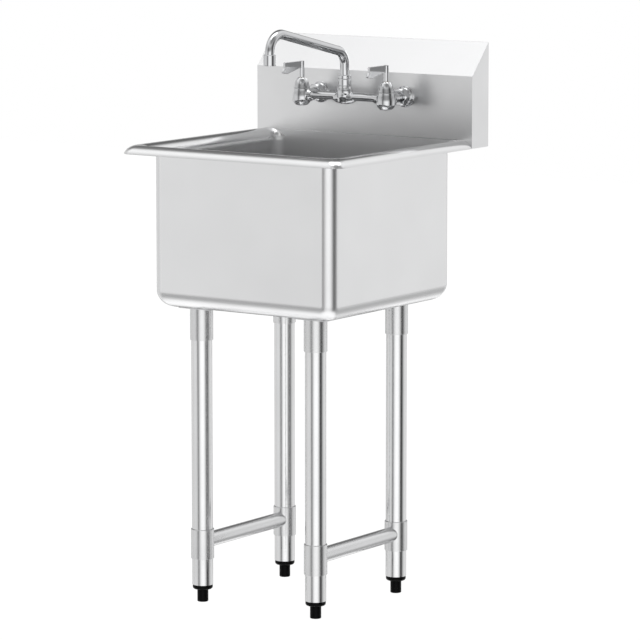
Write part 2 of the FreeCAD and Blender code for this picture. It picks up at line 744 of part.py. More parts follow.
def make_handle(name, x):
    post = turned([(0, 0, 0), (handle_radius, 0, edge_break), (handle_radius, handle_height, edge_break),
                   (0, handle_height, 0)], (x, valve_y, handle_bottom))
    tip = valve_y - blade_length
    half = blade_thickness / 2
    blade_low = handle_top - blade_tip_height
    side_view = [(valve_y, handle_top, 0), (valve_y, handle_top - blade_root_height, 0),
                 (valve_y - blade_root_reach, handle_top - blade_root_height, blade_root_round),
                 (tip + 2 * blade_toe, blade_low, blade_round),
                 (tip - blade_toe, blade_low + blade_toe_lift, blade_round),
                 (tip - blade_toe, blade_low + blade_toe_height / 2, blade_round),
                 (tip, blade_low + blade_toe_height, blade_round), (tip, handle_top, blade_round)]
    blade = Part.Face(outline(side_view, lambda u, v: V(x - half, u, v))).extrude(V(blade_thickness, 0, 0))
    handle = joined([post, blade])
    handle = handle.cut(cylinder(stem_radius + stem_fit, stem_in_handle, (x, valve_y, handle_bottom)))
    screw_bore = handle_screw_radius + stem_fit
    handle = handle.cut(cylinder(screw_bore, handle_height, (x, valve_y, handle_bottom)))
    head_low = handle_top - handle_screw_head
    handle = handle.cut(cylinder(handle_screw_head_radius + fit_gap, handle_height, (x, valve_y, head_low)))
    save("handle_" + name, handle)
    shaft_low = handle_bottom + stem_in_handle
    screw = joined([cylinder(handle_screw_radius, head_low - shaft_low, (x, valve_y, shaft_low)),
                    turned([(0, 0, 0), (handle_screw_head_radius, 0, 0),
                            (handle_screw_head_radius, handle_screw_head, edge_break),
                            (0, handle_screw_head, 0)], (x, valve_y, head_low))])
    slot = box((x - handle_radius, valve_y - handle_screw_slot / 2, head_low + handle_screw_head / 2),
               (x + handle_radius, valve_y + handle_screw_slot / 2, handle_top))
    save("handle_screw_" + name, screw.cut(slot))


# ---- spout ----

def spout_path(start):
    """Riser, sloping run and outlet in the plane x = 0, joined by tangent arcs."""
    angle = math.radians(spout_rise_angle)
    corner = V(0, hub_y, faucet_height + spout_corner_height)
    outlet_y = hub_y - spout_reach
    far_corner = V(0, outlet_y, corner.z + spout_reach * math.tan(angle))
    points = [V(0, hub_y, start), corner, far_corner, V(0, outlet_y, spout_end)]
    edges = []
    last = points[0]
    for before, here, after, radius in ((points[0], corner, far_corner, riser_bend_radius),
                                        (corner, far_corner, points[3], outlet_bend_radius)):
        back = before - here
        ahead = after - here
        half = back.getAngle(ahead) / 2
        back.normalize()
        ahead.normalize()
        middle = back + ahead
        middle.normalize()
        reach = radius / math.tan(half)
        edges.append(Part.makeLine(last, here + back * reach))
        top = here + middle * (radius / math.sin(half) - radius)
        last = here + ahead * reach
        edges.append(Part.Arc(here + back * reach, top, last).toShape())
    edges.append(Part.makeLine(last, points[3]))
    return Part.Wire(edges)


def swept(radius, start):
    circle = Part.Wire(Part.makeCircle(radius, V(0, hub_y, start), UP))
    return spout_path(start).makePipeShell([circle], True, False)


def make_spout():
    start = faucet_height + hub_bore_floor + touch_gap
    pipe = swept(spout_radius, start).cut(swept(spout_bore_radius, start))
    ring_centre = hub_bore_radius - run_gap - o_ring_radius
    rings = []
    for height in o_ring_heights:
        at = V(0, hub_y, faucet_height + height)
        rings.append(Part.makeTorus(ring_centre, o_ring_radius, at, UP))
        groove = tube(hub_bore_radius, ring_centre - o_ring_radius, o_ring_groove,
                      (0, hub_y, at.z - o_ring_groove / 2))
        pipe = pipe.cut(groove)
    save("spout_tube", pipe)
    save("spout_o_rings", Part.makeCompound(rings))
    thread = hub_nipple_radius + fit_gap
    lip_low = spout_nut_height - spout_nut_lip
    groove_low = lip_low - 2 * spout_nut_groove_half
    nut = turned([(thread, 0, 0), (hub_neck_radius, 0, edge_break), (hub_neck_radius, groove_low, 0),
                  (hub_neck_radius - spout_nut_groove, groove_low + spout_nut_groove_half, 0),
                  (hub_neck_radius, lip_low, 0), (hub_neck_radius, spout_nut_height, spout_nut_round),
                  (hub_bore_radius, spout_nut_height, edge_break),
                  (hub_bore_radius, lip_low, 0), (thread, lip_low, 0)], (0, hub_y, hub_seat))
    save("spout_nut", nut)


def make_aerator():
    at = (0, hub_y - spout_reach, spout_end)
    thread = spout_radius + fit_gap
    housing = turned([(thread, 0, 0), (thread, aerator_above_end, edge_break),
                      (aerator_radius, aerator_above_end, aerator_round),
                      (aerator_radius, -aerator_below_end, aerator_round),
                      (aerator_lip_radius, -aerator_below_end, edge_break),
                      (aerator_lip_radius, aerator_lip - aerator_below_end, 0),
                      (thread, aerator_lip - aerator_below_end, 0)], at)
    save("aerator_housing", housing)
    insert = cylinder(spout_radius, aerator_below_end - aerator_lip,
                      (at[0], at[1], spout_end - aerator_below_end + aerator_lip))
    holes = []
    for ring_radius, count in aerator_hole_rings:
        for k in range(count):
            turn = 2 * math.pi * k / count
            holes.append(cylinder(aerator_hole_radius, 2 * aerator_below_end,
                                  (at[0] + ring_radius * math.cos(turn), at[1] + ring_radius * math.sin(turn),
                                   spout_end - 2 * aerator_below_end)))
    save("aerator_insert", insert.cut(Part.makeCompound(holes)))


os.makedirs("parts", exist_ok=True)
make_bowl()
make_backsplash()
make_drain()
make_basket()
make_legs()
make_faucet_body()
make_inlets()
for side_name, sign in valve_sides.items():
    make_valve(side_name, sign * inlet_spacing / 2)
make_spout()
make_aerator()
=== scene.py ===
import json
import math
import bmesh
import bpy
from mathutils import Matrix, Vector

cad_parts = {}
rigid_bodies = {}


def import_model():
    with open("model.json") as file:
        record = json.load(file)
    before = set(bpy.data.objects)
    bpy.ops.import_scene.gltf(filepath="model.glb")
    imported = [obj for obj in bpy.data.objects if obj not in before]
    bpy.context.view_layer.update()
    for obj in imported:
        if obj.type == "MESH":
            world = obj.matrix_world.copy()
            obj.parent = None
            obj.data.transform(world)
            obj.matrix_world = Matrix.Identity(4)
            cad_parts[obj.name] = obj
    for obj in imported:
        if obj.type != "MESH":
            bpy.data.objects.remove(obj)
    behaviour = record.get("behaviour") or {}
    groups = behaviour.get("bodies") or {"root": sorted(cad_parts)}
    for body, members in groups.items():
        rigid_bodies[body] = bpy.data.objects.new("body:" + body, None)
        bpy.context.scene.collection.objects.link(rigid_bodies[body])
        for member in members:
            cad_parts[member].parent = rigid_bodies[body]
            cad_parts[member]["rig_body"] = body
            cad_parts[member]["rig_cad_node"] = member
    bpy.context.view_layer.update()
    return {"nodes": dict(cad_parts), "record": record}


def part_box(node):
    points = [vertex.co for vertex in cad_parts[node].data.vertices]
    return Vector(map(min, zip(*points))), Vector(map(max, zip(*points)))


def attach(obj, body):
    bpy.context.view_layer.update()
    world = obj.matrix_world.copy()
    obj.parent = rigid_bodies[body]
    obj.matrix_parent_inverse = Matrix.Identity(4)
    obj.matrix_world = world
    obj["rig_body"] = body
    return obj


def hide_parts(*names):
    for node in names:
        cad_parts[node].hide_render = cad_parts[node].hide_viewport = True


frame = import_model()
record = frame["record"]
nodes = frame["nodes"]
mm = 0.001
print("frame loaded:", len(nodes), "nodes")

# the camera stands where the photograph's did, solved from the sink's own corners
cameraValues = {"place": (4.2531, -6.1547, 1.6430), "yaw": 34.419, "pitch": 8.227,
                "lens": 214.03, "sensor": 36.0, "shiftX": -0.0003, "shiftY": -0.0031}


def makeCamera():
    values = cameraValues
    data = bpy.data.cameras.new("photoCamera")
    data.lens = values["lens"]
    data.sensor_width = values["sensor"]
    data.shift_x = values["shiftX"]
    data.shift_y = values["shiftY"]
    data.clip_end = 50
    camera = bpy.data.objects.new("photoCamera", data)
    camera.location = values["place"]
    camera.rotation_euler = (math.radians(90 - values["pitch"]), 0, math.radians(values["yaw"]))
    bpy.context.scene.collection.objects.link(camera)
    bpy.context.scene.camera = camera


# ---- working in edit mode ----

def deselectAll():
    if bpy.context.mode != "OBJECT":
        bpy.ops.object.mode_set(mode="OBJECT")
    bpy.ops.object.select_all(action="DESELECT")


def activate(piece):
    deselectAll()
    piece.select_set(True)
    bpy.context.view_layer.objects.active = piece


def startEdit(piece, kind="VERT"):
    activate(piece)
    bpy.ops.object.mode_set(mode="EDIT")
    bpy.ops.mesh.select_mode(type=kind)


def pick(piece, kind, wanted):
    mesh = bmesh.from_edit_mesh(piece.data)
    bpy.ops.mesh.select_all(action="DESELECT")
    for part in {"VERT": mesh.verts, "EDGE": mesh.edges, "FACE": mesh.faces}[kind]:
        if wanted(part):
            part.select_set(True)
    mesh.select_flush_mode()
    bmesh.update_edit_mesh(piece.data)


def faceMiddle(face):
    return face.calc_center_median()


def joinPieces(pieces, name):
    activate(pieces[0])
    for piece in pieces:
        piece.select_set(True)
    bpy.ops.object.join()
    whole = bpy.context.active_object
    whole.name = name
    return whole


def applyModifier(piece, kind, **settings):
    activate(piece)
    modifier = piece.modifiers.new(kind.lower(), kind)
    for key, value in settings.items():
        setattr(modifier, key, value)
    bpy.ops.object.modifier_apply(modifier=modifier.name)


def cutWith(piece, cutter):
    applyModifier(piece, "BOOLEAN", operation="DIFFERENCE", object=cutter, solver="EXACT")
    bpy.data.objects.remove(cutter)


def smoothed(piece, angle=35):
    activate(piece)
    bpy.ops.object.shade_smooth_by_angle(angle=math.radians(angle))
    applyModifier(piece, "WEIGHTED_NORMAL", keep_sharp=True, weight=100)
    return piece


def placed(piece, body, material, *replaced):
    piece.data.materials.clear()
    piece.data.materials.append(materials[material])
    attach(piece, body)
    if replaced:
        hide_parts(*replaced)
    return piece


# ---- shader groups ----

def newGroup(name, inputs, outputs):
    tree = bpy.data.node_groups.new(name, "ShaderNodeTree")
    for socketName, kind, value in inputs:
        socket = tree.interface.new_socket(socketName, in_out="INPUT", socket_type=kind)
        socket.default_value = value
    for socketName, kind in outputs:
        tree.interface.new_socket(socketName, in_out="OUTPUT", socket_type=kind)
    return tree, tree.nodes.new("NodeGroupInput"), tree.nodes.new("NodeGroupOutput")


def mathNode(tree, operation, first, second=None, third=None):
    node = tree.nodes.new("ShaderNodeMath")
    node.operation = operation
    for slot, value in enumerate((first, second, third)):
        if value is None:
            continue
        if isinstance(value, (int, float)):
            node.inputs[slot].default_value = value
        else:
            tree.links.new(value, node.inputs[slot])
    return node.outputs[0]


def noiseNode(tree, vector, scale, detail=2.0, roughness=0.5):
    node = tree.nodes.new("ShaderNodeTexNoise")
    node.inputs["Detail"].default_value = detail
    node.inputs["Roughness"].default_value = roughness
    tree.links.new(vector, node.inputs["Vector"])
    if isinstance(scale, (int, float)):
        node.inputs["Scale"].default_value = scale
    else:
        tree.links.new(scale, node.inputs["Scale"])
    return node.outputs["Fac"]


def makeGrainGroup():
    # fine lines left by the belt, and the slow clouding of a handled sheet
    tree, start, end = newGroup(
        "steelGrain",
        [("Lines", "NodeSocketVector", (0, 0, 0)), ("Place", "NodeSocketVector", (0, 0, 0)),
         ("Line Scale", "NodeSocketFloat", 1.0), ("Cloud Scale", "NodeSocketFloat", 6.0)],
        [("Line", "NodeSocketFloat"), ("Cloud", "NodeSocketFloat")])
    fine = noiseNode(tree, start.outputs["Lines"], start.outputs["Line Scale"], 3.0, 0.65)
    tree.links.new(fine, end.inputs["Line"])
    cloud = noiseNode(tree, start.outputs["Place"], start.outputs["Cloud Scale"], 3.0, 0.5)
    tree.links.new(cloud, end.inputs["Cloud"])
    return tree


def makeWearGroup():
    # small pits and lifted specks of a cast, moulded or plated surface
    tree, start, end = newGroup(
        "surfaceSpeck",
        [("Place", "NodeSocketVector", (0, 0, 0)), ("Speck Scale", "NodeSocketFloat", 900.0),
         ("Cloud Scale", "NodeSocketFloat", 40.0)],
        [("Speck", "NodeSocketFloat"), ("Cloud", "NodeSocketFloat")])
    tree.links.new(noiseNode(tree, start.outputs["Place"], start.outputs["Speck Scale"], 2.0, 0.6),
                   end.inputs["Speck"])
    tree.links.new(noiseNode(tree, start.outputs["Place"], start.outputs["Cloud Scale"], 2.0, 0.5),
                   end.inputs["Cloud"])
    return tree


# ---- materials: one dictionary of what a user would change for each ----

metalFinishes = {
    "bowl_steel": {"tone": (0.738, 0.740, 0.745), "rough": 0.175, "spread": 0.04, "lines": (60, 900, 900),
                   "lineScale": 1.0, "clouds": 5.0, "bump": 0.008,
                   "inside": {"rough": 0.145, "low": (-0.2128, -0.2213, 0.5932),
                              "high": (0.2128, 0.2044, 0.8975), "edge": 0.0006}},
    "backsplash_steel": {"tone": (0.760, 0.762, 0.767), "rough": 0.32, "spread": 0.05,
                         "lines": (50, 900, 900), "lineScale": 1.0, "clouds": 5.0, "bump": 0.010},
    "plate_steel": {"tone": (0.60, 0.60, 0.61), "rough": 0.34, "spread": 0.08, "lines": (300, 300, 300),
                    "lineScale": 1.0, "clouds": 20.0, "bump": 0.02},
    "tube_steel": {"tone": (0.715, 0.717, 0.722), "rough": 0.19, "spread": 0.05, "lines": (900, 900, 60),
                   "lineScale": 1.0, "clouds": 9.0, "bump": 0.010},
    "sleeve_steel": {"tone": (0.665, 0.667, 0.672), "rough": 0.26, "spread": 0.05, "lines": (900, 900, 80),
                     "lineScale": 1.0, "clouds": 14.0, "bump": 0.010},
    "crossbar_steel": {"tone": (0.68, 0.682, 0.688), "rough": 0.25, "spread": 0.06, "lines": (900, 60, 900),
                       "lineScale": 1.0, "clouds": 12.0, "bump": 0.014},
    "screw_steel": {"tone": (0.42, 0.42, 0.43), "rough": 0.34, "spread": 0.08, "lines": (900, 900, 900),
                    "lineScale": 1.0, "clouds": 120.0, "bump": 0.02},
    "drain_steel": {"tone": (0.74, 0.74, 0.75), "rough": 0.12, "spread": 0.05, "lines": (700, 700, 700),
                    "lineScale": 1.0, "clouds": 30.0, "bump": 0.008},
    "faucet_chrome": {"tone": (0.585, 0.590, 0.600), "rough": 0.06, "spread": 0.03, "lines": (400, 400, 400),
                      "lineScale": 1.0, "clouds": 40.0, "bump": 0.003},
    "brass": {"tone": (0.70, 0.50, 0.23), "rough": 0.27, "spread": 0.08, "lines": (1200, 60, 1200),
              "lineScale": 1.0, "clouds": 60.0, "bump": 0.02},
    "washer_steel": {"tone": (0.60, 0.60, 0.60), "rough": 0.30, "spread": 0.08, "lines": (900, 60, 900),
                     "lineScale": 1.0, "clouds": 60.0, "bump": 0.02},
    "locknut_metal": {"tone": (0.52, 0.52, 0.53), "rough": 0.42, "spread": 0.08, "lines": (500, 500, 500),
                      "lineScale": 1.0, "clouds": 60.0, "bump": 0.03},
}
mouldedFinishes = {
    "seal_rubber": {"tone": (0.022, 0.022, 0.023), "pale": (0.040, 0.040, 0.041), "rough": 0.62,
                    "spread": 0.08, "specks": 1400.0, "clouds": 60.0, "bump": 0.05},
    "fibre": {"tone": (0.46, 0.30, 0.17), "pale": (0.60, 0.43, 0.26), "rough": 0.80,
              "spread": 0.06, "specks": 900.0, "clouds": 90.0, "bump": 0.10},
    "foot_plastic": {"tone": (0.0020, 0.0020, 0.0022), "pale": (0.0034, 0.0034, 0.0036), "rough": 0.40,
                     "spread": 0.08, "specks": 1800.0, "clouds": 80.0, "bump": 0.03, "sheen": 0.06},
    "insert_plastic": {"tone": (0.0020, 0.0020, 0.0022), "pale": (0.0034, 0.0034, 0.0036), "rough": 0.38,
                       "spread": 0.08, "specks": 1800.0, "clouds": 80.0, "bump": 0.03, "sheen": 0.06},
    "insert_white": {"tone": (0.62, 0.62, 0.60), "pale": (0.74, 0.74, 0.72), "rough": 0.42,
                     "spread": 0.06, "specks": 1500.0, "clouds": 90.0, "bump": 0.03},
}


def startMaterial(name):
    material = bpy.data.materials.new(name)
    material.use_nodes = True
    tree = material.node_tree
    shader = tree.nodes["Principled BSDF"]
    coordinates = tree.nodes.new("ShaderNodeTexCoord")
    return material, tree, shader, coordinates.outputs["Object"]


def mappedFrom(tree, vector, scale):
    mapping = tree.nodes.new("ShaderNodeMapping")
    mapping.inputs["Scale"].default_value = scale
    tree.links.new(vector, mapping.inputs["Vector"])
    return mapping.outputs["Vector"]


def rangeNode(tree, value, low, high, fromLow=0.3, fromHigh=0.7):
    node = tree.nodes.new("ShaderNodeMapRange")
    node.inputs["From Min"].default_value = fromLow
    node.inputs["From Max"].default_value = fromHigh
    node.inputs["To Min"].default_value = low
    node.inputs["To Max"].default_value = high
    tree.links.new(value, node.inputs["Value"])
    return node.outputs["Result"]


def blendNode(tree, mask, first, second):
    node = tree.nodes.new("ShaderNodeMix")
    node.data_type = "RGBA"
    node.inputs["A"].default_value = (*first, 1)
    node.inputs["B"].default_value = (*second, 1)
    for socket in node.inputs:
        if socket.name == "Factor" and socket.type == "VALUE":
            tree.links.new(mask, socket)
            break
    colours = [s for s in node.inputs if s.type == "RGBA"]
    colours[0].default_value = (*first, 1)
    colours[1].default_value = (*second, 1)
    return [s for s in node.outputs if s.type == "RGBA"][0]


def bumpNode(tree, height, strength, distance):
    node = tree.nodes.new("ShaderNodeBump")
    node.inputs["Strength"].default_value = strength
    node.inputs["Distance"].default_value = distance
    tree.links.new(height, node.inputs["Height"])
    return node.outputs["Normal"]


def insideMask(tree, place, values):
    # 1 within a box, falling to 0 over its edge: the bowl's inside keeps the sheet's duller finish
    split = tree.nodes.new("ShaderNodeSeparateXYZ")
    tree.links.new(place, split.inputs[0])
    mask = None
    for axis, low, high in zip("XYZ", values["low"], values["high"]):
        rising = rangeNode(tree, split.outputs[axis], 0, 1, low - values["edge"], low)
        falling = rangeNode(tree, split.outputs[axis], 1, 0, high, high + values["edge"])
        share = mathNode(tree, "MULTIPLY", rising, falling)
        mask = share if mask is None else mathNode(tree, "MULTIPLY", mask, share)
    return mask


def makeMetal(name, values, grain):
    material, tree, shader, place = startMaterial(name)
    group = tree.nodes.new("ShaderNodeGroup")
    group.node_tree = grain
    group.inputs["Line Scale"].default_value = values["lineScale"]
    group.inputs["Cloud Scale"].default_value = values["clouds"]
    tree.links.new(mappedFrom(tree, place, values["lines"]), group.inputs["Lines"])
    tree.links.new(place, group.inputs["Place"])
    tone = values["tone"]
    shade = tuple(c * 0.955 for c in tone)
    tree.links.new(blendNode(tree, rangeNode(tree, group.outputs["Cloud"], 0, 1), tone, shade),
                   shader.inputs["Base Color"])
    mixed = mathNode(tree, "MULTIPLY_ADD", group.outputs["Cloud"], 0.5,
                     mathNode(tree, "MULTIPLY", group.outputs["Line"], 0.5))
    roughness = rangeNode(tree, mixed, values["rough"] - values["spread"],
                          values["rough"] + values["spread"])
    if "inside" in values:
        roughness = mathNode(tree, "MULTIPLY_ADD", insideMask(tree, place, values["inside"]),
                             values["inside"]["rough"], roughness)
    tree.links.new(roughness, shader.inputs["Roughness"])
    shader.inputs["Metallic"].default_value = 1.0
    tree.links.new(bumpNode(tree, group.outputs["Line"], values["bump"], 0.0005),
                   shader.inputs["Normal"])
    return material


def makeMoulded(name, values, speck):
    material, tree, shader, place = startMaterial(name)
    group = tree.nodes.new("ShaderNodeGroup")
    group.node_tree = speck
    group.inputs["Speck Scale"].default_value = values["specks"]
    group.inputs["Cloud Scale"].default_value = values["clouds"]
    tree.links.new(place, group.inputs["Place"])
    tree.links.new(blendNode(tree, rangeNode(tree, group.outputs["Cloud"], 0, 1), values["tone"],
                             values["pale"]), shader.inputs["Base Color"])
    tree.links.new(rangeNode(tree, group.outputs["Cloud"], values["rough"] - values["spread"],
                             values["rough"] + values["spread"]), shader.inputs["Roughness"])
    shader.inputs["Specular IOR Level"].default_value = values.get("sheen", 0.5)
    tree.links.new(bumpNode(tree, group.outputs["Speck"], values["bump"], 0.0004),
                   shader.inputs["Normal"])
    return material


def makeMaterials():
    grain = makeGrainGroup()
    speck = makeWearGroup()
    made = {name: makeMetal(name, values, grain) for name, values in metalFinishes.items()}
    made.update({name: makeMoulded(name, values, speck) for name, values in mouldedFinishes.items()})
    return made


def dressNodes():
    for part in record["subparts"]:
        slots = nodes[part["node"]].data.materials
        slots.clear()
        slots.append(materials[part["material_slot"]])


# ---- studio: a white room with a bright front and two dark strips, a floor and soft lamps ----

# heading from the camera's own side, in degrees, positive to its right, and the brightness there
levelBand = [(-180, 0.62), (-162, 0.92), (-142, 0.98), (-116, 0.84), (-96, 0.92), (-80, 0.99), (-58, 0.92),
             (-42, 0.24), (-30, 0.70), (-14, 1.35), (7, 1.48), (22, 1.38), (36, 0.85), (50, 0.08),
             (64, 0.06), (76, 0.40), (92, 0.90), (115, 1.00), (138, 0.94), (160, 0.80), (180, 0.62)]
middleBand = [(-180, 0.88), (-120, 0.76), (-90, 0.74), (-72, 0.78), (-58, 0.62), (-42, 0.20), (-14, 0.45),
              (7, 0.55), (30, 0.42), (50, 0.12), (64, 0.12), (76, 0.40), (92, 0.80), (114, 0.92),
              (124, 1.08), (150, 1.00), (180, 0.88)]
upperBand = [(-180, 0.62), (-135, 0.66), (-112, 1.12), (-97, 1.30), (-83, 1.18), (-60, 1.05), (-45, 0.70),
             (-25, 1.10), (7, 1.30), (30, 1.10), (50, 0.45), (66, 0.50), (85, 1.05), (121, 1.14),
             (140, 1.05), (180, 0.62)]
lowerBand = [(-180, 0.50), (-150, 1.20), (-112, 0.85), (-78, 0.46), (-45, 0.30), (-20, 0.95), (7, 1.10),
             (30, 0.90), (48, 0.18), (66, 0.16), (85, 0.40), (110, 0.46), (125, 0.48), (143, 0.95),
             (156, 1.50), (170, 0.85), (180, 0.50)]
# "overhead" is what a first reflection sees straight above, "overheadInside" what later ones do in the bowl
studioValues = {"background": 1.0, "diffuse": 0.85, "brightest": 1.6, "overhead": 0.40,
                "overheadInside": 3.5,"ground": 1.45, "floorSize": 14.0, "floorShade": 0.08,
                "floorGlow": 1.06, "middleFrom": 3, "middleTo": 13, "upperFrom": 22, "upperTo": 38,
                "overheadFrom": 60, "overheadTo": 70, "lowerFrom": -13, "lowerTo": -27, "groundFrom": -40,
                "groundTo": -52}
# dark and bright patches of the room: heading, rise, core and edge of the patch, and its level
roomPatches = [
    {"heading": -172, "rise": 42, "core": 15, "edge": 34, "level": 0.24},
    {"heading": 176, "rise": 26, "core": 8, "edge": 20, "level": 0.16},
    {"heading": -174, "rise": -16, "core": 8, "edge": 24, "level": 0.03},
    {"heading": 15, "rise": 58, "core": 14, "edge": 34, "level": 0.35},
]


def bandRamp(tree, around, stops):
    ramp = tree.nodes.new("ShaderNodeValToRGB")
    ramp.color_ramp.interpolation = "EASE"
    elements = ramp.color_ramp.elements
    elements.remove(elements[-1])
    for index, (angle, level) in enumerate(stops):
        place = (angle + 180) / 360
        stop = elements[0] if index == 0 else elements.new(place)
        stop.position = place
        share = level / studioValues["brightest"]
        stop.color = (share, share, share, 1)
    tree.links.new(around, ramp.inputs[0])
    grey = tree.nodes.new("ShaderNodeRGBToBW")
    tree.links.new(ramp.outputs["Color"], grey.inputs[0])
    return mathNode(tree, "MULTIPLY", grey.outputs[0], studioValues["brightest"])


def mixedLevel(tree, share, first, second):
    step = mathNode(tree, "SUBTRACT", second, first)
    return mathNode(tree, "MULTIPLY_ADD", share, step, first)


def riseShare(tree, up, start, end):
    return rangeNode(tree, up, 0, 1, math.sin(math.radians(start)), math.sin(math.radians(end)))


def roomDirection(heading, rise):
    turn = math.radians(heading + cameraValues["yaw"] - 90)
    lift = math.radians(rise)
    return (math.cos(turn) * math.cos(lift), math.sin(turn) * math.cos(lift), math.sin(lift))


def spotShare(tree, direction, heading, rise, core, edge):
    dot = tree.nodes.new("ShaderNodeVectorMath")
    dot.operation = "DOT_PRODUCT"
    tree.links.new(direction, dot.inputs[0])
    dot.inputs[1].default_value = roomDirection(heading, rise)
    return rangeNode(tree, dot.outputs["Value"], 0, 1, math.cos(math.radians(edge)),
                     math.cos(math.radians(core)))


def makeRoom():
    values = studioValues
    world = bpy.data.worlds.new("studioRoom")
    bpy.context.scene.world = world
    world.use_nodes = True
    tree = world.node_tree
    tree.nodes.clear()
    output = tree.nodes.new("ShaderNodeOutputWorld")
    direction = tree.nodes.new("ShaderNodeTexCoord").outputs["Generated"]
    split = tree.nodes.new("ShaderNodeSeparateXYZ")
    tree.links.new(direction, split.inputs[0])
    up = split.outputs["Z"]
    heading = mathNode(tree, "ARCTAN2", split.outputs["Y"], split.outputs["X"])
    cameraHeading = math.radians(cameraValues["yaw"] - 90)
    turned = mathNode(tree, "MULTIPLY_ADD", heading, 0.5 / math.pi, 0.5 - cameraHeading * 0.5 / math.pi)
    around = mathNode(tree, "FRACT", turned)
    level = bandRamp(tree, around, levelBand)
    level = mixedLevel(tree, riseShare(tree, up, values["middleFrom"], values["middleTo"]), level,
                       bandRamp(tree, around, middleBand))
    level = mixedLevel(tree, riseShare(tree, up, values["upperFrom"], values["upperTo"]), level,
                       bandRamp(tree, around, upperBand))
    rays = tree.nodes.new("ShaderNodeLightPath")
    later = mathNode(tree, "GREATER_THAN", rays.outputs["Ray Depth"], 1.5)
    overhead = mathNode(tree, "MULTIPLY_ADD", later, values["overheadInside"] - values["overhead"],
                        values["overhead"])
    level = mixedLevel(tree, riseShare(tree, up, values["overheadFrom"], values["overheadTo"]), level,
                       overhead)
    level = mixedLevel(tree, riseShare(tree, up, values["lowerFrom"], values["lowerTo"]), level,
                       bandRamp(tree, around, lowerBand))
    level = mixedLevel(tree, riseShare(tree, up, values["groundFrom"], values["groundTo"]), level,
                       values["ground"])
    for patch in roomPatches:
        share = spotShare(tree, direction, patch["heading"], patch["rise"], patch["core"], patch["edge"])
        level = mixedLevel(tree, share, level, patch["level"])
    glossy = tree.nodes.new("ShaderNodeBackground")
    tree.links.new(level, glossy.inputs["Strength"])
    plain = tree.nodes.new("ShaderNodeBackground")
    plain.inputs["Strength"].default_value = values["diffuse"]
    seen = tree.nodes.new("ShaderNodeBackground")
    seen.inputs["Strength"].default_value = values["background"]
    for node in (glossy, plain, seen):
        node.inputs["Color"].default_value = (1, 1, 1, 1)
    first = tree.nodes.new("ShaderNodeMixShader")
    tree.links.new(rays.outputs["Is Glossy Ray"], first.inputs[0])
    tree.links.new(plain.outputs[0], first.inputs[1])
    tree.links.new(glossy.outputs[0], first.inputs[2])
    second = tree.nodes.new("ShaderNodeMixShader")
    tree.links.new(rays.outputs["Is Camera Ray"], second.inputs[0])
    tree.links.new(first.outputs[0], second.inputs[1])
    tree.links.new(seen.outputs[0], second.inputs[2])
    tree.links.new(second.outputs[0], output.inputs["Surface"])


def makeFloor():
    values = studioValues
    deselectAll()
    bpy.ops.mesh.primitive_plane_add(size=values["floorSize"], location=(0, 0, 0))
    floor = bpy.context.active_object
    floor.name = "studioFloor"
    material = bpy.data.materials.new("studioFloor")
    material.use_nodes = True
    tree = material.node_tree
    tree.nodes.clear()
    output = tree.nodes.new("ShaderNodeOutputMaterial")
    rays = tree.nodes.new("ShaderNodeLightPath")
    matte = tree.nodes.new("ShaderNodeBsdfDiffuse")
    matte.inputs["Color"].default_value = (0.9, 0.9, 0.9, 1)
    glow = tree.nodes.new("ShaderNodeEmission")
    glow.inputs["Strength"].default_value = values["floorGlow"]
    pale = tree.nodes.new("ShaderNodeMixShader")
    pale.inputs[0].default_value = 1 - values["floorShade"]
    tree.links.new(matte.outputs[0], pale.inputs[1])
    tree.links.new(glow.outputs[0], pale.inputs[2])
    clear = tree.nodes.new("ShaderNodeBsdfTransparent")
    first = tree.nodes.new("ShaderNodeMixShader")
    tree.links.new(rays.outputs["Is Camera Ray"], first.inputs[0])
    tree.links.new(matte.outputs[0], first.inputs[1])
    tree.links.new(pale.outputs[0], first.inputs[2])
    second = tree.nodes.new("ShaderNodeMixShader")
    tree.links.new(rays.outputs["Is Glossy Ray"], second.inputs[0])
    tree.links.new(first.outputs[0], second.inputs[1])
    tree.links.new(clear.outputs[0], second.inputs[2])
    tree.links.new(second.outputs[0], output.inputs["Surface"])
    floor.data.materials.append(material)


lampValues = [
    {"name": "keyLamp", "place": (1.2, -2.6, 3.0), "size": 1.6, "power": 14},
    {"name": "fillLamp", "place": (-2.6, -1.2, 2.2), "size": 1.8, "power": 8},
]


def makeLamps():
    target = Vector((0, 0, 0.7))
    for values in lampValues:
        data = bpy.data.lights.new(values["name"], "AREA")
        data.size = values["size"]
        data.energy = values["power"]
        lamp = bpy.data.objects.new(values["name"], data)
        lamp.location = values["place"]
        lamp.rotation_euler = (target - lamp.location).to_track_quat("-Z", "Y").to_euler()
        lamp.visible_glossy = False
        bpy.context.scene.collection.objects.link(lamp)


# ---- bowl: one drawn skin from the floor over the wall and the rolled rim ----

bowlValues = {"sheet": 1.2, "inside": 425.0, "depth": 319.2, "wallCorner": 23.9, "floorEdge": 32.7,
              "floorCorner": 7.0, "crestInset": 21.8, "crestRise": 16.3, "crestFlat": 1.0,
              "innerRoll": 24.0, "rimCorner": 24.0, "crestCorner": 20.0, "crestRear": 5.0,
              "rearSquare": 0.6, "arcSteps": 14, "cornerSteps": 12, "drainRadius": 44.45}

